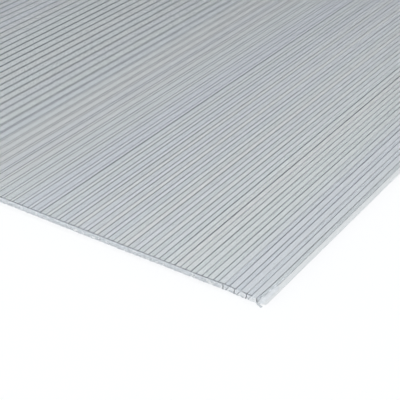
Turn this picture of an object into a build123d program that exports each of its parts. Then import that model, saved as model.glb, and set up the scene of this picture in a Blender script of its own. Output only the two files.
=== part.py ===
from build123d import *
import os

# Twinwall sheet of clear polycarbonate, lying flat.
# It is one extrusion: two thin skins held apart by upright webs, which close a row of long cells.
# X runs across the webs, Y along the cells and Z up. The origin is under the middle of the sheet.

# Driving dimensions, in mm
sheet_width = 610.0
sheet_length = 1220.0
sheet_thickness = 4.0
skin_thickness = 0.27
web_thickness = 0.22
web_pitch = 6.0
root_flare = 0.15
side_lip = 2.7

# The clear space of one cell, between its two skins and its two webs
cell_width = web_pitch - web_thickness
cell_height = sheet_thickness - 2 * skin_thickness
cell_middle = sheet_thickness / 2

# The saw cut the sheet to width side_lip outside its last web on the right, through a cell.
# From that web the others follow to the left at their pitch, and the left side cuts a cell open too.
last_web = sheet_width / 2 - side_lip
webs_left_of_it = int((sheet_width - side_lip) // web_pitch)
cell_places = [last_web + web_pitch * (0.5 - cell) for cell in range(webs_left_of_it + 2)]

# The sawn front end, where the section shows
front_end = Plane.XZ.offset(sheet_length / 2)

with BuildPart() as multiwall_sheet:
    with BuildSketch(front_end):
        # The section before its cells are taken out
        with Locations((0, cell_middle)):
            Rectangle(sheet_width, sheet_thickness)
        # One cell. Its corners are cut because each web flares where it runs into a skin.
        with BuildSketch(mode=Mode.PRIVATE) as cell:
            Rectangle(cell_width, cell_height)
            chamfer(cell.vertices(), root_flare)
        with Locations([(place, cell_middle) for place in cell_places]):
            add(cell.sketch, mode=Mode.SUBTRACT)
    # Pulled to its length along the cells, as it leaves the die
    extrude(amount=-sheet_length)

multiwall_sheet.part.label = "multiwall_sheet"

os.makedirs("parts", exist_ok=True)
export_step(multiwall_sheet.part, "parts/multiwall_sheet.step")
print("cells", len(cell_places), "volume", round(multiwall_sheet.part.volume), "mm3")
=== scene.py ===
# %% [markdown]
# # A twinwall sheet of clear polycarbonate
#
# The object is one extrusion: two skins a quarter of a millimetre thick, held 3.5 mm apart by upright
# webs every 6 mm. Nearly all of its look is geometry. Light goes through four thin walls, and wherever
# a web runs into a skin the little root bends it away and draws a fine dark line. So this lesson models
# the real section and gives it a real glass shader. The roots also get painted shade, a dark colour that
# helps draw those lines, and the rest of the paint is kept for small things.
#
# The imported model is the frame. Everything below is in metres, in its axes: X across the webs, Y along
# the cells, Z up, and the origin under the middle of the sheet.

# %% Load the frame
import math
import random

import bmesh
import bpy
from mathutils import Matrix, Vector, noise


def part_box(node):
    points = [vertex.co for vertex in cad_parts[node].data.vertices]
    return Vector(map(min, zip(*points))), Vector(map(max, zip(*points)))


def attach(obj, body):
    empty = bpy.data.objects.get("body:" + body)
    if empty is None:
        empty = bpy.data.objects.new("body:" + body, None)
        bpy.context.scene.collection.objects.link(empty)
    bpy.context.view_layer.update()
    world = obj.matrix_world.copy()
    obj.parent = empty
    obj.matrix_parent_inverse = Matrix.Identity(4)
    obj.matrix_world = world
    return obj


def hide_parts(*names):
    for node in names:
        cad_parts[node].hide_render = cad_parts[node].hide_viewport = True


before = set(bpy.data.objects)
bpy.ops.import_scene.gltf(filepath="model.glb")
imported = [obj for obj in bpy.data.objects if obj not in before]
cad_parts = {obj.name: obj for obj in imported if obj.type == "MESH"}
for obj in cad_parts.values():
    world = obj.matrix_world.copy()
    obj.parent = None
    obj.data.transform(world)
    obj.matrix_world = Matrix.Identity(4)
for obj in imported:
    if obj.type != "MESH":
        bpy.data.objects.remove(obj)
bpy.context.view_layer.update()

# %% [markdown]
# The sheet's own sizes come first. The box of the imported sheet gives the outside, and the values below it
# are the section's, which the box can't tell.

MM = 0.001
NODE = "multiwall_sheet"
sheet_low, sheet_high = (Vector(corner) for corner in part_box(NODE))
thickness = sheet_high.z - sheet_low.z
skin = 0.27 * MM
web = 0.22 * MM
pitch = 6.0 * MM
side_lip = 2.7 * MM

last_web = sheet_high.x - side_lip
web_count = int((last_web - sheet_low.x) // pitch) + 1
first_web = last_web - (web_count - 1) * pitch
print(f"sheet {thickness / MM:.1f} mm thick, {web_count} webs, the last at x = {last_web / MM:.1f} mm")

# %% [markdown]
# No two webs of a real sheet are alike. The die gives each its own thickness and a slight lean, and now
# and then a root is much stouter and shows as a dark line down the whole sheet. Seeded chance gives each
# web its values, and two short lists name the odd roots. Webs are counted from the right side, and the
# top roots far from it are finer.

# %% The webs and their unevenness
random.seed(4)
ROOT = 0.12 * MM
STOUT_AT_TOP = {0: 1.2, 1: 1.5, 2: 1.2, 3: 1.6, 5: 1.8, 6: 1.6, 7: 1.3, 8: 1.2, 21: 2.0}
STOUT_AT_FOOT = {0: 0.5, 3: 1.9, 5: 1.6, 7: 1.5, 8: 2.2, 9: 2.2, 10: 1.6, 15: 1.7}
USUAL_AT_FOOT = 1.4
FINER_FROM = 22
FINER = 0.85
THICKNESS_SPREAD = (0.88, 1.12)
ROOT_SPREAD = (0.85, 1.15)
LEAN = 0.005


def make_web(number):
    """Middle, thickness, lean and the two roots of one web, counted from the right side."""
    usual_at_top = FINER if number >= FINER_FROM else 1.0
    return {
        "x": last_web - number * pitch,
        "thick": web * random.uniform(*THICKNESS_SPREAD),
        "lean": random.uniform(-LEAN, LEAN) * MM,
        "top_root": ROOT * STOUT_AT_TOP.get(number, usual_at_top) * random.uniform(*ROOT_SPREAD),
        "foot_root": ROOT * STOUT_AT_FOOT.get(number, USUAL_AT_FOOT) * random.uniform(*ROOT_SPREAD),
    }


webs = [make_web(number) for number in range(-1, web_count + 1)]
print(len(webs), "webs planned, with one beyond each side for the cells that the saw opened")

# %% [markdown]
# The section is drawn cell by cell, in the plane of the sawn end. A cell's void starts as a grid of one
# face, its corners are moved to the webs beside it, and a vertex bevel rounds each into a web root.
# Extruding the void's edge and pushing the copy out to the skins and the web middles gives the ring of
# plastic round the void. A boolean could cut the voids from a block, but it would be slow for a hundred
# cells and leave long thin triangles. Straight cuts across the ring give the sawn edge somewhere to be
# ragged.

# %% One cell of the section
ROOT_STEPS = 3
SKIN_CUTS = 5
CUT_SPAN = pitch - 1.0 * MM
WELD = 0.001 * MM
UPRIGHT = Matrix.Rotation(math.radians(90), 4, "X")
middle_height = sheet_low.z + thickness / 2


def cell_section(left, right, y):
    """Mesh of the plastic round one void, between the middles of two webs, in the plane at y."""
    cell = bmesh.new()
    centre = Vector(((left["x"] + right["x"]) / 2, y, middle_height))
    square = bmesh.ops.create_grid(cell, x_segments=1, y_segments=1, size=0.5, matrix=UPRIGHT)["verts"]
    roots = []
    for vert in square:
        side = left if vert.co.x < 0 else right
        inward = 1 if vert.co.x < 0 else -1
        up = 1 if vert.co.z > 0 else -1
        vert.co = Vector((
            side["x"] + inward * side["thick"] / 2 + up * side["lean"],
            y,
            middle_height + up * (thickness / 2 - skin),
        ))
        roots.append((vert, side["top_root"] if up > 0 else side["foot_root"]))
    for vert, root in roots:
        bmesh.ops.bevel(
            cell, geom=[vert], offset=root, offset_type="OFFSET",
            segments=ROOT_STEPS, profile=0.5, affect="VERTICES", material=-1,
        )
    rim = cell.edges[:]
    bmesh.ops.delete(cell, geom=cell.faces[:], context="FACES_ONLY")
    ring = bmesh.ops.extrude_edge_only(cell, edges=rim)["geom"]
    for vert in (item for item in ring if isinstance(item, bmesh.types.BMVert)):
        side = left if vert.co.x < centre.x else right
        up = 1 if vert.co.z > centre.z else -1
        vert.co = Vector((side["x"], y, middle_height + up * thickness / 2))
    bmesh.ops.remove_doubles(cell, verts=cell.verts[:], dist=WELD)
    for step in range(SKIN_CUTS):
        place = centre + Vector(((step / (SKIN_CUTS - 1) - 0.5) * CUT_SPAN, 0, 0))
        everything = cell.verts[:] + cell.edges[:] + cell.faces[:]
        bmesh.ops.bisect_plane(cell, geom=everything, plane_co=place, plane_no=(1, 0, 0))
    return cell


trial = cell_section(webs[2], webs[1], sheet_low.y)
print("one cell of the section:", len(trial.verts), "points,", len(trial.faces), "faces")
trial.free()

# %% [markdown]
# The cells are joined into the whole section, which is cut off plumb at the sheet's two sides. Joining
# through a plain mesh is the quick way to add one bmesh to another.
#
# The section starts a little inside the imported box, because a sliver of plastic sticks out of the cut at
# the near corner, and the sliver is what reaches the nominal length.

# %% The whole section
CUT_BACK = 0.5 * MM
front_cut = sheet_low.y + CUT_BACK
back_cut = sheet_high.y - CUT_BACK


def whole_section(y):
    """All cells of the section in one bmesh, trimmed to the sheet's width."""
    section = bmesh.new()
    for right, left in zip(webs, webs[1:]):
        cell = cell_section(left, right, y)
        carrier = bpy.data.meshes.new("cell")
        cell.to_mesh(carrier)
        cell.free()
        section.from_mesh(carrier)
        bpy.data.meshes.remove(carrier)
    bmesh.ops.remove_doubles(section, verts=section.verts[:], dist=2 * WELD)
    for side, outward in ((sheet_high.x, 1), (sheet_low.x, -1)):
        everything = section.verts[:] + section.edges[:] + section.faces[:]
        bmesh.ops.bisect_plane(
            section, geom=everything, plane_co=(side, 0, 0), plane_no=(outward, 0, 0), clear_outer=True
        )
    return section


sheet = whole_section(front_cut)
print("whole section:", len(sheet.verts), "points,", len(sheet.faces), "faces")

# %% [markdown]
# The section is extruded in steps. They are short near the ends, where the sheet is ragged and bent, and
# one long step makes the rest. Every step after the first leaves the cap before it inside the sheet.
# That cap is deleted, so that only the walls and the two ends stay.

# %% The extruded sheet
EDGE_STRIP = 0.18 * MM
END_STEPS = [EDGE_STRIP, 3.5 * MM, 9.0 * MM, 14.0 * MM]


def extrude_along(shape, faces, distance):
    """Pushes a copy of a cap of faces along Y, with walls behind it, and returns the new cap."""
    new = bmesh.ops.extrude_face_region(shape, geom=faces)["geom"]
    bmesh.ops.translate(
        shape, verts=[item for item in new if isinstance(item, bmesh.types.BMVert)], vec=(0, distance, 0)
    )
    return [item for item in new if isinstance(item, bmesh.types.BMFace)]


cap = extrude_along(sheet, sheet.faces[:], END_STEPS[0])
long_step = back_cut - front_cut - 2 * sum(END_STEPS)
for distance in END_STEPS[1:] + [long_step] + END_STEPS[::-1]:
    passed = cap
    cap = extrude_along(sheet, passed, distance)
    bmesh.ops.delete(sheet, geom=passed, context="FACES")
bmesh.ops.recalc_face_normals(sheet, faces=sheet.faces[:])
print("extruded sheet:", len(sheet.verts), "points,", len(sheet.faces), "faces")

# %% [markdown]
# Six plastics are needed on the one mesh, and it is easiest to say which face gets which while the sheet
# is still straight: clear for the walls, painted shade for the roots, nearly black painted shade on the
# top skin's sawn edge, frosted for the other sawn faces and the crushed web's outer side, crazed at that
# web's top, and hazed at its foot and on the lips outside the outermost webs. The slots are numbers here
# and get their materials later. The dark line along the cut is broken in three places near the corner.

# %% Which face is which plastic
CLEAR, ROOTS, SHADE_PAINTED_EDGE, FROSTED, CRAZED, HAZED = range(6)
WEB_ZONE = 0.4 * MM
TOUCHING = 0.01 * MM
STRAIGHT = 0.9
ROOT_SLANT = (0.2, 0.98)
PALE_BREAKS = [(0.1 * MM, 3.0 * MM), (-2.4 * MM, -0.3 * MM), (-11.4 * MM, -9.4 * MM)]


def plastic_of(face):
    """The material slot of one face of the straight sheet."""
    middle, normal = face.calc_center_median(), face.normal
    depth = min(middle.y - front_cut, back_cut - middle.y)
    beside = middle.x - last_web
    in_top_skin = middle.z > sheet_high.z - skin
    broken = middle.y < 0 and any(low < beside < high for low, high in PALE_BREAKS)
    on_strip = depth < EDGE_STRIP and normal.z > STRAIGHT
    # The top skin's sawn edge is painted nearly black, as painted shade.
    if depth < TOUCHING or (on_strip and in_top_skin):
        return SHADE_PAINTED_EDGE if in_top_skin and not broken else FROSTED
    if min(sheet_high.x - middle.x, middle.x - sheet_low.x) < TOUCHING:
        return FROSTED
    is_root = abs(normal.y) < 1 - STRAIGHT and ROOT_SLANT[0] < abs(normal.x) < ROOT_SLANT[1]
    near_corner = abs(beside) < WEB_ZONE and middle.y - front_cut < sum(END_STEPS)
    if is_root and near_corner and middle.z < middle_height:
        return HAZED
    if is_root:
        return CRAZED if near_corner and beside > 0 else ROOTS
    if near_corner and beside > 0 and normal.x > STRAIGHT and middle.y - front_cut < END_STEPS[1]:
        return FROSTED
    return HAZED if last_web + WEB_ZONE < middle.x or middle.x < first_web - WEB_ZONE else CLEAR


for face in sheet.faces:
    face.material_index = plastic_of(face)
counts = [sum(face.material_index == slot for face in sheet.faces) for slot in range(6)]
print("faces of clear, root, bruised, frosted, crazed and hazed plastic:", counts)

# %% [markdown]
# The last web was crushed a little at the near corner: its end leans to the left, and its foot more than
# its top. The lips beside it are broken too. The top lip is worn away towards the corner, and the end of
# the bottom lip is set back, with a narrow gap before the sliver that is made further down. All of it is
# a plain move of the sheet's own points, so the mesh stays closed.

# %% The damaged corner
CRUSH_AT_TOP = 0.8 * MM
CRUSH_AT_FOOT = 1.4 * MM
CRUSH_REACH = 6.0 * MM
CRUSH_SPREAD = 1.2 * MM
TOP_LIP_LOST = 0.92
TOP_LIP_REACH = 11.0 * MM
FOOT_LIP_LOST = 0.08
FOOT_LIP_REACH = 8.0 * MM
FOOT_LIP_SET_BACK = 1.2 * MM
STRIP_END = 1.1 * EDGE_STRIP


def crush(place):
    """How far the crushed corner moved a point to the left."""
    beyond = max(0, abs(place.x - last_web) - WEB_ZONE) / CRUSH_SPREAD
    height = (place.z - sheet_low.z) / thickness
    reach = math.exp(-max(0, place.y - front_cut) / CRUSH_REACH)
    return (CRUSH_AT_FOOT + (CRUSH_AT_TOP - CRUSH_AT_FOOT) * height) * reach * math.exp(-beyond * beyond)


for vert in sheet.verts:
    depth = vert.co.y - front_cut
    if depth > sum(END_STEPS) + EDGE_STRIP:
        continue
    left = crush(vert.co)
    beside = vert.co.x - last_web
    if beside > WEB_ZONE:
        lost = TOP_LIP_LOST * math.exp(-depth / TOP_LIP_REACH)
        if vert.co.z < middle_height:
            lost = FOOT_LIP_LOST * math.exp(-depth / FOOT_LIP_REACH)
            if depth < STRIP_END and beside > 2 * WEB_ZONE:
                vert.co.y += FOOT_LIP_SET_BACK
        vert.co.x = last_web + WEB_ZONE + (beside - WEB_ZONE) * (1 - lost)
    vert.co.x -= left
print(f"the last web leans {CRUSH_AT_FOOT / MM:.1f} mm at its foot")

# %% [markdown]
# The blade leaned, so the cut runs further in at the bottom. Its teeth chipped the thin plastic, more at
# the foot, where they left it. The saw also swung a little, which the list of swings holds: place beside
# the last web, depth at the top, depth at the foot and reach, in mm. Every point of a sawn face, and of
# the narrow strip behind it, moves in along Y by all of this. Noise from mathutils takes the place of a
# Displace modifier, because the burr film further down has to follow the very same face.

# %% Ragged sawn ends
SAW_BACK = 0.36 * MM
SAW_LEAN = 0.5 * MM
SAW_CHIP = 0.12 * MM
FOOT_CHIP = 0.9 * MM
SAW_WANDER = 0.18 * MM
CHIP_SIZE = 1.3 * MM
WANDER_SIZE = 18 * MM
SAW_SWINGS = [(-19, 0.35, 0.35, 7), (-42, 0, 0.35, 30), (0, -0.25, 0.0, 6)]
NOISE_GAIN = 1.6
CHIP_LAYER, WANDER_LAYER = 3, 5


def chance_at(x, z, size, layer):
    """Smooth noise from 0 to 1 that changes over the given size, with a pattern of its own per layer."""
    return 0.5 + 0.5 * max(-1, min(1, NOISE_GAIN * noise.noise(Vector((x / size, z / size, layer)))))


def cut_depth(x, z, end):
    """How far in the sawn face lies at one point, at the front (end 1) or the back (end -1)."""
    height = (z - sheet_low.z) / thickness
    chip = SAW_CHIP * height + FOOT_CHIP * (1 - height)
    depth = SAW_BACK + SAW_LEAN * (1 - height) + chip * chance_at(x, z, CHIP_SIZE, CHIP_LAYER * end)
    depth += SAW_WANDER * chance_at(x, 0, WANDER_SIZE, WANDER_LAYER * end)
    for place, at_top, at_foot, reach in SAW_SWINGS if end > 0 else []:
        swing = (at_top * height + at_foot * (1 - height)) * MM
        depth += swing * math.exp(-(((x - last_web) / MM - place) / reach) ** 2)
    return depth


deepest = 0
for vert in sheet.verts:
    for cut, inward in ((front_cut, 1), (back_cut, -1)):
        if (vert.co.y - cut) * inward < STRIP_END + FOOT_LIP_SET_BACK:
            depth = cut_depth(vert.co.x, vert.co.z, inward)
            vert.co.y += inward * depth
            deepest = max(deepest, depth)
print(f"the sawn ends lie up to {deepest / MM:.2f} mm in")

# %% [markdown]
# Every piece is finished in the same way: its bmesh goes into a mesh with its materials, the object stays
# at the origin, and it rides on the only body there is, the root.

# %% Finish a piece


def finish_piece(name, shape, *materials):
    """Makes an object of a bmesh, with its material slots, riding on the sheet's body."""
    mesh = bpy.data.meshes.new(name)
    shape.to_mesh(mesh)
    shape.free()
    for material in materials:
        mesh.materials.append(material)
    piece = bpy.data.objects.new(name, mesh)
    bpy.context.scene.collection.objects.link(piece)
    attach(piece, "root")
    triangles = sum(len(polygon.vertices) - 2 for polygon in mesh.polygons)
    print(f"{name}: {triangles} triangles")
    return piece


# %% [markdown]
# The materials are node trees, and a few small helpers keep them short to read. Most of them make one
# node, feed its sockets with constants or with other nodes, and return what it puts out. The last one
# starts a node group, which several materials can share.

# %% Node helpers


def feed(tree, socket, value):
    """Gives a socket its value, which is a constant or another node's output."""
    if isinstance(value, bpy.types.NodeSocket):
        tree.links.new(value, socket)
    else:
        socket.default_value = value


def math_node(tree, operation, first, second=0.0):
    """The result of a Math node."""
    node = tree.nodes.new("ShaderNodeMath")
    node.operation = operation
    feed(tree, node.inputs[0], first)
    feed(tree, node.inputs[1], second)
    return node.outputs[0]


def map_range(tree, value, low, high, to_low=0.0, to_high=1.0):
    """The result of a Map Range node, which holds its ends past low and high."""
    node = tree.nodes.new("ShaderNodeMapRange")
    feed(tree, node.inputs["Value"], value)
    for label, limit in (("From Min", low), ("From Max", high), ("To Min", to_low), ("To Max", to_high)):
        node.inputs[label].default_value = limit
    return node.outputs["Result"]


def mix_colours(tree, factor, first, second, blend_type="MIX"):
    """The result of a Mix node of two colours."""
    node = tree.nodes.new("ShaderNodeMix")
    node.data_type = "RGBA"
    node.blend_type = blend_type
    feed(tree, node.inputs["Factor"], factor)
    feed(tree, node.inputs["A"], first)
    feed(tree, node.inputs["B"], second)
    return node.outputs["Result"]


def object_axes(tree):
    """X, Y and Z of the Object coordinates, as three outputs."""
    place = tree.nodes.new("ShaderNodeTexCoord")
    parts = tree.nodes.new("ShaderNodeSeparateXYZ")
    tree.links.new(place.outputs["Object"], parts.inputs[0])
    return parts.outputs


def new_group(name, inputs, outputs):
    """A node group with float inputs and their defaults, and outputs by their socket type."""
    group = bpy.data.node_groups.new(name, "ShaderNodeTree")
    for label, value in inputs.items():
        socket = group.interface.new_socket(label, in_out="INPUT", socket_type="NodeSocketFloat")
        socket.default_value = value
    for label, kind in outputs.items():
        group.interface.new_socket(label, in_out="OUTPUT", socket_type=kind)
    return group, group.nodes.new("NodeGroupInput"), group.nodes.new("NodeGroupOutput")


# %% [markdown]
# Three effects are shared by the plastics, so each is a node group. All of them read Object coordinates,
# so they stay on the sheet from every side.
#
# The first gives every cell its own faint tint, because the skins differ a little from cell to cell. X is
# divided by the pitch and rounded down to the cell's number, white noise turns the number into a chance
# value, and a ramp turns that into a tint between blue, green and cream.

# %% Tint of a cell
cell_tint, entry, leave = new_group(
    "cell_tint", {"Pitch": pitch, "Shift": 0.0, "Strength": 1.0}, {"Tint": "NodeSocketColor"}
)
shifted = math_node(cell_tint, "SUBTRACT", object_axes(cell_tint)["X"], entry.outputs["Shift"])
number = math_node(cell_tint, "FLOOR", math_node(cell_tint, "DIVIDE", shifted, entry.outputs["Pitch"]))
draw = cell_tint.nodes.new("ShaderNodeTexWhiteNoise")
draw.noise_dimensions = "1D"
cell_tint.links.new(number, draw.inputs["W"])
tints = cell_tint.nodes.new("ShaderNodeValToRGB")
cell_tint.links.new(draw.outputs["Value"], tints.inputs[0])
tints.color_ramp.elements[0].color = (0.93, 0.95, 1.0, 1)
tints.color_ramp.elements[1].color = (1.0, 0.985, 0.96, 1)
tints.color_ramp.elements.new(0.5).color = (0.96, 1.0, 0.975, 1)
tint = mix_colours(cell_tint, entry.outputs["Strength"], (1, 1, 1, 1), tints.outputs["Color"])
cell_tint.links.new(tint, leave.inputs["Tint"])
print("node group:", cell_tint.name)

# %% [markdown]
# The second group draws the fine lines that the die leaves along the sheet. It is plain noise on
# coordinates that run fast across the sheet and slowly along it.

# %% Lines of the die
die_lines, entry, leave = new_group(
    "die_lines", {"Across": 900.0, "Along": 2.5}, {"Lines": "NodeSocketFloat"}
)
axes = object_axes(die_lines)
stretched = die_lines.nodes.new("ShaderNodeCombineXYZ")
feed(die_lines, stretched.inputs["X"], math_node(die_lines, "MULTIPLY", axes["X"], entry.outputs["Across"]))
feed(die_lines, stretched.inputs["Y"], math_node(die_lines, "MULTIPLY", axes["Y"], entry.outputs["Along"]))
streaks = die_lines.nodes.new("ShaderNodeTexNoise")
streaks.inputs["Scale"].default_value = 1.0
streaks.inputs["Detail"].default_value = 3.0
die_lines.links.new(stretched.outputs[0], streaks.inputs["Vector"])
die_lines.links.new(streaks.outputs["Fac"], leave.inputs["Lines"])
print("node group:", die_lines.name)

# %% [markdown]
# The third group is the white mottling of crushed and sawn plastic, a little under a millimetre across.

# %% Whitening
whitening, entry, leave = new_group("whitening", {"Size": 1400.0}, {"Mask": "NodeSocketFloat"})
place = whitening.nodes.new("ShaderNodeTexCoord")
mottle = whitening.nodes.new("ShaderNodeTexNoise")
mottle.inputs["Detail"].default_value = 4.0
whitening.links.new(place.outputs["Object"], mottle.inputs["Vector"])
whitening.links.new(entry.outputs["Size"], mottle.inputs["Scale"])
whitening.links.new(mottle.outputs["Fac"], leave.inputs["Mask"])
print("node group:", whitening.name)

# %% [markdown]
# Clear plastic needs a real glass shader, because the floor is seen through its walls. Lamps are let
# straight through it, or the floor below would be black, and so is the light that the floor sends back,
# or the lamps would be counted twice. Two mixes do this, each with its factor straight from Light Path.

# %% Letting lamps through
WALL_PASSES = (0.97, 0.973, 0.976, 1)


def new_material(name):
    """A material with its node tree and its Principled shader."""
    material = bpy.data.materials.new(name)
    material.use_nodes = True
    return material, material.node_tree, material.node_tree.nodes["Principled BSDF"]


def let_lamps_through(tree, shader):
    """Shows the shader to the camera and in glass, and hides it from lamps and from the floor's light."""
    through = tree.nodes.new("ShaderNodeBsdfTransparent")
    through.inputs["Color"].default_value = WALL_PASSES
    rays = tree.nodes.new("ShaderNodeLightPath")
    surface = shader.outputs[0]
    for ray in ("Is Shadow Ray", "Is Diffuse Ray"):
        mix = tree.nodes.new("ShaderNodeMixShader")
        tree.links.new(rays.outputs[ray], mix.inputs[0])
        tree.links.new(surface, mix.inputs[1])
        tree.links.new(through.outputs[0], mix.inputs[2])
        surface = mix.outputs[0]
    tree.links.new(surface, tree.nodes["Material Output"].inputs["Surface"])


print("a wall passes", WALL_PASSES[:3], "of the lamps' red, green and blue")


# %% [markdown]
# The walls and the lips are clear, and the lips a little hazed. The roots take the same recipe with a
# darker colour and less transmission. This is painted shade, where the thick plastic bends light astray.
# Near a sawn end that painted shade is paler, as painted light for the light that comes in through the cut.

# %% Clear plastic and its roots
POLYCARBONATE_IOR = 1.585
LINE_RANGE = (0.35, 0.65)
LINE_SHADE = 0.99
LINE_HAZE = 0.02
LIT_FROM = 50 * MM
LIT_TO = 15 * MM


def lit_by_the_cut(tree, colour, lit_colour):
    """Mixes a colour towards a paler one near the sawn ends, as painted light."""
    from_middle = math_node(tree, "ABSOLUTE", object_axes(tree)["Y"])
    near_end = map_range(tree, from_middle, sheet_high.y - LIT_FROM, sheet_high.y - LIT_TO)
    return mix_colours(tree, near_end, colour, (*lit_colour, 1))


def clear_plastic(name, colour, transmission, tint_strength, lit_colour=None):
    """Glass-like plastic that lets lamps through, tinted cell by cell and lined by the die, and with a
    lit_colour painted paler near the sawn ends as painted light.
    """
    material, tree, glass = new_material(name)
    glass.inputs["IOR"].default_value = POLYCARBONATE_IOR
    glass.inputs["Transmission Weight"].default_value = transmission
    tint = tree.nodes.new("ShaderNodeGroup")
    tint.node_tree = cell_tint
    tint.inputs["Pitch"].default_value = pitch
    tint.inputs["Shift"].default_value = last_web
    tint.inputs["Strength"].default_value = tint_strength
    lines = tree.nodes.new("ShaderNodeGroup")
    lines.node_tree = die_lines
    shade = map_range(tree, lines.outputs["Lines"], *LINE_RANGE, LINE_SHADE, 1.0)
    base = mix_colours(tree, 1.0, (*colour, 1), tint.outputs["Tint"], "MULTIPLY")
    base = mix_colours(tree, 1.0, base, shade, "MULTIPLY")
    if lit_colour:
        base = lit_by_the_cut(tree, base, lit_colour)
    tree.links.new(base, glass.inputs["Base Color"])
    haze = map_range(tree, lines.outputs["Lines"], 0.0, 1.0, 0.0, LINE_HAZE)
    tree.links.new(haze, glass.inputs["Roughness"])
    let_lamps_through(tree, glass)
    return material


clear = clear_plastic("clear_wall", (0.962, 0.970, 0.976), 1.0, 0.3)
# The roots' dark colour is painted shade, and their paler colour near the sawn ends is painted light.
shaded_root = clear_plastic("shaded_root", (0.10, 0.11, 0.13), 0.1, 0.1, (0.30, 0.32, 0.35))
hazed = clear_plastic("hazed_lip", (0.925, 0.937, 0.945), 1.0, 0.2)
print("clear plastics:", clear.name, shaded_root.name, hazed.name)

# %% [markdown]
# A sawn face scatters light. On the thin bottom skin, the web ends and the burrs this shows as pale
# frosted plastic with a faint blue cast, in some places paler than in others. The top skin's edge
# catches no light from above, so it draws a dark line along the cut, and that line is painted shade of a
# nearly black colour. One function makes these two, the imported swarf and the crazed plastic of the
# crushed web. Each is mottled between a dark and a pale colour, and painted darker towards the sheet's
# foot as painted shade near the floor.

# %% Frosted and bruised plastic
MOTTLE_RANGE = (0.4, 0.6)
FOOT_HEIGHTS = (0.2 * MM, 3.0 * MM)
FOOT_SHADE = 0.85
SAWN_ROUGHNESS = (0.4, 0.7)
SAWN_RELIEF = 0.1 * MM


def sawn_plastic(name, dark, pale):
    """Rough plastic that is mottled between two colours and painted a little darker at the sheet's foot, as
    painted shade near the floor.
    """
    material, tree, shader = new_material(name)
    mottling = tree.nodes.new("ShaderNodeGroup")
    mottling.node_tree = whitening
    spread = map_range(tree, mottling.outputs["Mask"], *MOTTLE_RANGE)
    colours = mix_colours(tree, spread, (*dark, 1), (*pale, 1))
    # Towards the sheet's foot the colour is darkened, as painted shade near the floor.
    foot = map_range(tree, object_axes(tree)["Z"], *FOOT_HEIGHTS, FOOT_SHADE, 1.0)
    shaded = mix_colours(tree, 1.0, colours, foot, "MULTIPLY")
    tree.links.new(shaded, shader.inputs["Base Color"])
    tree.links.new(map_range(tree, spread, 0.0, 1.0, *SAWN_ROUGHNESS), shader.inputs["Roughness"])
    relief = tree.nodes.new("ShaderNodeBump")
    relief.inputs["Strength"].default_value = 0.5
    relief.inputs["Distance"].default_value = SAWN_RELIEF
    tree.links.new(mottling.outputs["Mask"], relief.inputs["Height"])
    tree.links.new(relief.outputs["Normal"], shader.inputs["Normal"])
    let_lamps_through(tree, shader)
    return material


packed = sawn_plastic("packed_swarf", (0.76, 0.80, 0.83), (0.90, 0.93, 0.96))
frosted = sawn_plastic("frosted_cut", (0.55, 0.59, 0.63), (0.84, 0.88, 0.92))
# This nearly black colour is painted shade, for the top skin's sawn edge and the dark strips of the film.
painted_shade_cut = sawn_plastic("painted_shade_cut_edge", (0.03, 0.04, 0.05), (0.09, 0.10, 0.13))
crazed = sawn_plastic("crazed_lip", (0.52, 0.56, 0.59), (0.70, 0.74, 0.77))
print("sawn plastics:", packed.name, frosted.name, painted_shade_cut.name, crazed.name)

# %% [markdown]
# The sheet gets its materials in the order of the slot numbers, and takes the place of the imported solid.

# %% The sheet itself
sheet_piece = finish_piece("sheet", sheet, clear, shaded_root, painted_shade_cut, frosted, crazed, hazed)
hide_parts(NODE)

# %% [markdown]
# Sawing polycarbonate melts as much as it cuts. The swarf smears into a thin ragged film that hangs over
# the openings of the cells and nearly hides them. Near the corner little of it is left, and the cells
# stand open. At the webs nearest the corner a strip of the film is bent to the left and painted nearly
# black, as painted shade. These strips are the short upright dark lines there, and the list gives their
# bend at the top and at the foot, in mm.

# %% The bent web ends
BENT_WEB_ENDS = {0: (0, 0), 1: (0.1, 1.0), 2: (0.5, 1.3), 3: (0.9, 1.4)}
BENT_SPREAD = 1.6 * MM


def bend(x, height):
    """How far the saw bent the end of the nearest web to the left, and the film around it."""
    number = round((last_web - x) / pitch)
    at_top, at_foot = BENT_WEB_ENDS.get(number, (0, 0))
    beside = (x - last_web + number * pitch) / BENT_SPREAD
    return (at_foot + (at_top - at_foot) * height) * MM * math.exp(-beside * beside)


print(len(BENT_WEB_ENDS), "dark web ends at the front")

# %% [markdown]
# Each end gets one film. A see-through pattern on a flat strip would be simpler, but the film has a body,
# and the mesh should have it too. So it is an upright grid as wide as the sheet, draped on the
# sawn face under the top skin, with a ragged foot and torn patches, and made thick at the end. Two of its
# lines stand close beside each web, to bound the dark strips. Rows near the top skin are never torn.

# %% The burr over the openings
COLUMNS_A_CELL = 12
BURR_COLUMN = pitch / COLUMNS_A_CELL
BURR_ROWS = 5
BURR_THICK = 0.04 * MM
BURR_STAND_OFF = 0.06 * MM
BURR_BULGE = 0.18 * MM
BURR_FOOT = 0.50 * MM
BURR_LIFT = 0.02 * MM
SIDE_MARGIN = 0.2 * MM
WEB_END = 0.21 * MM
BESIDE_WEB = 0.6 * BURR_COLUMN
PATCH_SIZE = 1.6 * CHIP_SIZE
TORN = 0.72
TORN_AT_CORNER = 0.55
TORN_REACH = 4 * pitch
NEVER_TORN = 0.8 * MM
FOOT_LAYER, BULGE_LAYER, TORN_LAYER = 9, 11, 13
# The film's second slot holds the dark strips, which are painted shade.
DARK_STRIP = 1


def is_torn(face, end):
    """Whether a face of the film is missing, which is more likely near the corner."""
    middle = face.calc_center_median()
    near_corner = math.exp(-((last_web - middle.x) / TORN_REACH) ** 2) if end > 0 else 0
    hangs_on = face.material_index == DARK_STRIP or middle.z > sheet_high.z - NEVER_TORN
    chance = chance_at(middle.x, middle.z, PATCH_SIZE, TORN_LAYER * end)
    return not hangs_on and chance > TORN - TORN_AT_CORNER * near_corner


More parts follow.
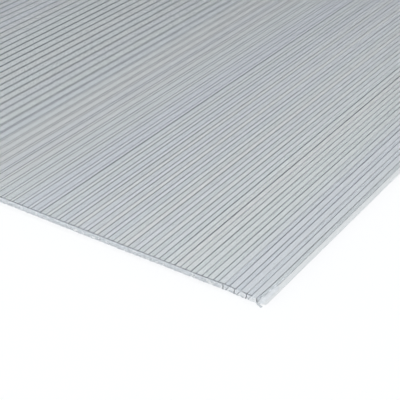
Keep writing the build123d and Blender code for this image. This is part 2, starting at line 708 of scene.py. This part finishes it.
def burr_film(name, cut, end):
    """The film of smeared swarf over one sawn end."""
    film = bmesh.new()
    right = last_web + BURR_COLUMN / 2
    columns = int((right - sheet_low.x - SIDE_MARGIN) / BURR_COLUMN)
    bmesh.ops.create_grid(film, x_segments=columns, y_segments=BURR_ROWS, size=0.5, matrix=UPRIGHT)
    half_column = 0.5 / COLUMNS_A_CELL
    for face in film.faces:
        webs_away = (0.5 - face.calc_center_median().x) * columns / COLUMNS_A_CELL - half_column
        number = round(webs_away)
        if end > 0 and number in BENT_WEB_ENDS and abs(webs_away - number) < half_column:
            face.material_index = DARK_STRIP
    for vert in film.verts:
        x = right + (vert.co.x - 0.5) * columns * BURR_COLUMN
        nearest = last_web + round((x - last_web) / pitch) * pitch
        if abs(x - nearest) < BESIDE_WEB:
            x = nearest + math.copysign(WEB_END, x - nearest)
        foot = sheet_low.z + BURR_LIFT + BURR_FOOT * chance_at(x, 0, CHIP_SIZE, FOOT_LAYER * end)
        z = foot + (vert.co.z + 0.5) * (sheet_high.z - skin - foot)
        bulge = BURR_BULGE * chance_at(x, z, PATCH_SIZE, BULGE_LAYER * end)
        y = cut + end * (cut_depth(x, z, end) - BURR_STAND_OFF - bulge)
        vert.co = Vector((x - (bend(x, vert.co.z + 0.5) if end > 0 else 0), y, z))
    torn = [face for face in film.faces if is_torn(face, end)]
    bmesh.ops.delete(film, geom=torn, context="FACES")
    for vert in film.verts if end > 0 else []:
        vert.co.x -= crush(vert.co)
    bmesh.ops.solidify(film, geom=film.faces[:], thickness=BURR_THICK)
    bmesh.ops.recalc_face_normals(film, faces=film.faces[:])
    return finish_piece(name, film, frosted, painted_shade_cut)


burr_film("saw_burr_front", front_cut, 1)
burr_film("saw_burr_back", back_cut, -1)

# %% [markdown]
# At the near corner a sliver of the bottom lip hangs on by the crushed web's foot and sticks out past the
# cut, with a gap behind it. It is a short grid laid along a line and made thick. Each of its two widths is
# in mm, and it is wider at its free end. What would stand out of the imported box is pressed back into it.

# %% The sliver at the corner
SLIVER_THICK = 0.2 * MM
SLIVER_STEPS = 8
SLIVER_WIDTHS = (0.8, 1.2)
SLIVER_RAGGED = 0.2 * MM
SLIVER_NOISE = 0.7 * MM
SLIVER_SLANT = 0.3
SLIVER_LAYER = 17
sliver_from = Vector((last_web - 0.9 * MM, front_cut + 1.1 * MM, sheet_low.z + 0.1 * MM))
sliver_to = Vector((last_web + 1.95 * MM, front_cut - 0.05 * MM, sheet_low.z + 0.02 * MM))

sliver = bmesh.new()
bmesh.ops.create_grid(sliver, x_segments=SLIVER_STEPS, y_segments=2, size=0.5)
for vert in sliver.verts:
    along = vert.co.x + 0.5
    across = vert.co.y * (SLIVER_WIDTHS[0] + (SLIVER_WIDTHS[1] - SLIVER_WIDTHS[0]) * along) * MM
    ragged = SLIVER_RAGGED * (chance_at(3 * along * MM, 4 * across, SLIVER_NOISE, SLIVER_LAYER) - 0.5)
    aside = Vector((ragged + SLIVER_SLANT * across, across + ragged, 0))
    vert.co = sliver_from.lerp(sliver_to, along) + aside
bmesh.ops.solidify(sliver, geom=sliver.faces[:], thickness=-SLIVER_THICK)
bmesh.ops.recalc_face_normals(sliver, faces=sliver.faces[:])
for vert in sliver.verts:
    vert.co.z = max(vert.co.z, sheet_low.z)
    vert.co.y = max(vert.co.y, sheet_low.y)
finish_piece("corner_sliver", sliver, crazed)

# %% [markdown]
# Swarf is packed into the angle between the last web and the bottom lip, for 15 mm from just behind the
# cut. It is a narrow ribbon that slopes from the web down to the lip, with ragged sides. The profile
# gives its three lines: how far out of the web and how high, in mm.

# %% Swarf beside the last web
SWARF_START = 1.6 * MM
SWARF_LENGTH = 15 * MM
SWARF_STEPS = 40
SWARF_THICK = 0.06 * MM
SWARF_PROFILE = [(0.16, 1.0), (0.7, 0.55), (1.4, 0.33)]
SWARF_RAGGED = 0.4
SWARF_NOISE = 0.9 * MM
SWARF_LAYER = 19

swarf = bmesh.new()
bmesh.ops.create_grid(swarf, x_segments=2, y_segments=SWARF_STEPS, size=0.5)
for vert in swarf.verts:
    line = round((vert.co.x + 0.5) * 2)
    out, up = SWARF_PROFILE[line]
    y = front_cut + SWARF_START + (vert.co.y + 0.5) * SWARF_LENGTH
    ragged = SWARF_RAGGED * chance_at(y, vert.co.x * 5 * MM, SWARF_NOISE, SWARF_LAYER)
    if line == 2:
        out += 0.3 * ragged
    else:
        up += ragged
    place = Vector((last_web + out * MM, y, up * MM))
    place.x -= crush(place)
    vert.co = place
bmesh.ops.solidify(swarf, geom=swarf.faces[:], thickness=SWARF_THICK)
bmesh.ops.recalc_face_normals(swarf, faces=swarf.faces[:])
finish_piece("corner_swarf", swarf, packed)

# %% [markdown]
# A few flakes of sawn plastic are pressed into what is left of the top lip, near the corner, and show as
# pale specks. Each is a small circle pulled out of shape and made thick. The list gives how far out of
# the last web and how far behind the cut each lies, and its radius, in mm.

# %% Saw chips
CHIP_THICK = 0.08 * MM
CHIP_SEGMENTS = 9
SQUEEZED = (0.4, 0.9)
STRETCHED = (0.7, 1.4)
CHIP_PLACES = [(1.2, 8.2, 0.75), (1.5, 12.3, 0.6), (1.6, 18.9, 0.5), (0.9, 6.1, 0.4)]

chips = bmesh.new()
for beside, behind, radius in CHIP_PLACES:
    middle = Vector((last_web + beside * MM, front_cut + behind * MM, sheet_high.z - 1.5 * CHIP_THICK))
    flake = bmesh.ops.create_circle(
        chips, cap_ends=True, segments=CHIP_SEGMENTS, radius=radius * MM, matrix=Matrix.Translation(middle)
    )["verts"]
    for vert in flake:
        out = vert.co - middle
        pulled = Vector((out.x * random.uniform(*SQUEEZED), out.y * random.uniform(*STRETCHED), 0))
        vert.co = middle + pulled
bmesh.ops.solidify(chips, geom=chips.faces[:], thickness=-CHIP_THICK)
bmesh.ops.recalc_face_normals(chips, faces=chips.faces[:])
finish_piece("saw_chips", chips, frosted)

# %% [markdown]
# The floor is plain, rough and nearly white, so that the clear sheet shows against it and keeps its faint
# shadow. It lies a hair below the sheet, because two faces in one plane would flicker.

# %% Floor
FLOOR_HALF = 6
FLOOR_DROP = 0.1 * MM

floor_mesh = bpy.data.meshes.new("floor")
floor_shape = bmesh.new()
below = Matrix.Translation((0, 0, -FLOOR_DROP))
bmesh.ops.create_grid(floor_shape, x_segments=1, y_segments=1, size=FLOOR_HALF, matrix=below)
floor_shape.to_mesh(floor_mesh)
floor_shape.free()
floor = bpy.data.objects.new("floor", floor_mesh)
bpy.context.scene.collection.objects.link(floor)
paper, _, paper_shader = new_material("white_paper")
paper_shader.inputs["Base Color"].default_value = (0.95, 0.95, 0.95, 1)
paper_shader.inputs["Roughness"].default_value = 0.9
paper_shader.inputs["Specular IOR Level"].default_value = 0.0
floor_mesh.materials.append(paper)
print("floor", 2 * FLOOR_HALF, "m wide")

# %% [markdown]
# The studio is white at the horizon, where the floor ends, and dim grey overhead. The skins mirror that
# dim part, and it gives the plastic its grey.

# %% World
HORIZON_TO = 0.18
CEILING_FROM = 0.32

world = bpy.data.worlds.new("studio")
bpy.context.scene.world = world
world.use_nodes = True
sky = world.node_tree
background = sky.nodes["Background"]
direction = sky.nodes.new("ShaderNodeTexCoord")
split = sky.nodes.new("ShaderNodeSeparateXYZ")
ramp = sky.nodes.new("ShaderNodeValToRGB")
sky.links.new(direction.outputs["Generated"], split.inputs[0])
sky.links.new(split.outputs["Z"], ramp.inputs[0])
sky.links.new(ramp.outputs[0], background.inputs["Color"])
ramp.color_ramp.elements[0].position = HORIZON_TO
ramp.color_ramp.elements[0].color = (1, 1, 1, 1)
ramp.color_ramp.elements[1].position = CEILING_FROM
ramp.color_ramp.elements[1].color = (0.18, 0.19, 0.20, 1)
print("world:", world.name)

# %% [markdown]
# Two large softboxes light the floor to just under white. The one overhead does most of the work, and the
# one at the left keeps the sawn front end from going flat.

# %% Lamps


def softbox(name, place, size, power):
    """Square area lamp that faces the middle of the sheet."""
    lamp = bpy.data.lights.new(name, "AREA")
    lamp.energy = power
    lamp.size = size
    box = bpy.data.objects.new(name, lamp)
    box.location = place
    box.rotation_euler = (-Vector(place)).to_track_quat("-Z", "Y").to_euler()
    bpy.context.scene.collection.objects.link(box)
    print(f"{name}: {power} W over {size} m")


softbox("overhead_softbox", (0.6, -0.6, 2.6), 2.2, 59)
softbox("side_softbox", (-2.0, -1.6, 1.8), 1.6, 22)

# %% [markdown]
# The camera stands beyond the near corner and looks down on the sheet, slantwise over the cells. Its
# place is written from that corner, so the view stays the same when the sheet gets another size.

# %% Camera
CAMERA_FROM_CORNER = Vector((0.19283, -0.33375, 0.28932))
CAMERA_LOOKS_ALONG = Vector((-0.4728, 0.7062, -0.527))

camera_data = bpy.data.cameras.new("camera")
camera = bpy.data.objects.new("camera", camera_data)
bpy.context.scene.collection.objects.link(camera)
bpy.context.scene.camera = camera
near_corner = Vector((last_web, front_cut, sheet_high.z))
camera.location = near_corner + CAMERA_FROM_CORNER
camera.rotation_euler = CAMERA_LOOKS_ALONG.to_track_quat("-Z", "Y").to_euler()
camera_data.lens = 98.5
camera_data.sensor_width = 36
camera_data.clip_start = 0.01
bpy.context.scene.view_settings.view_transform = "Standard"
print(f"camera with a {camera_data.lens:.1f} mm lens")
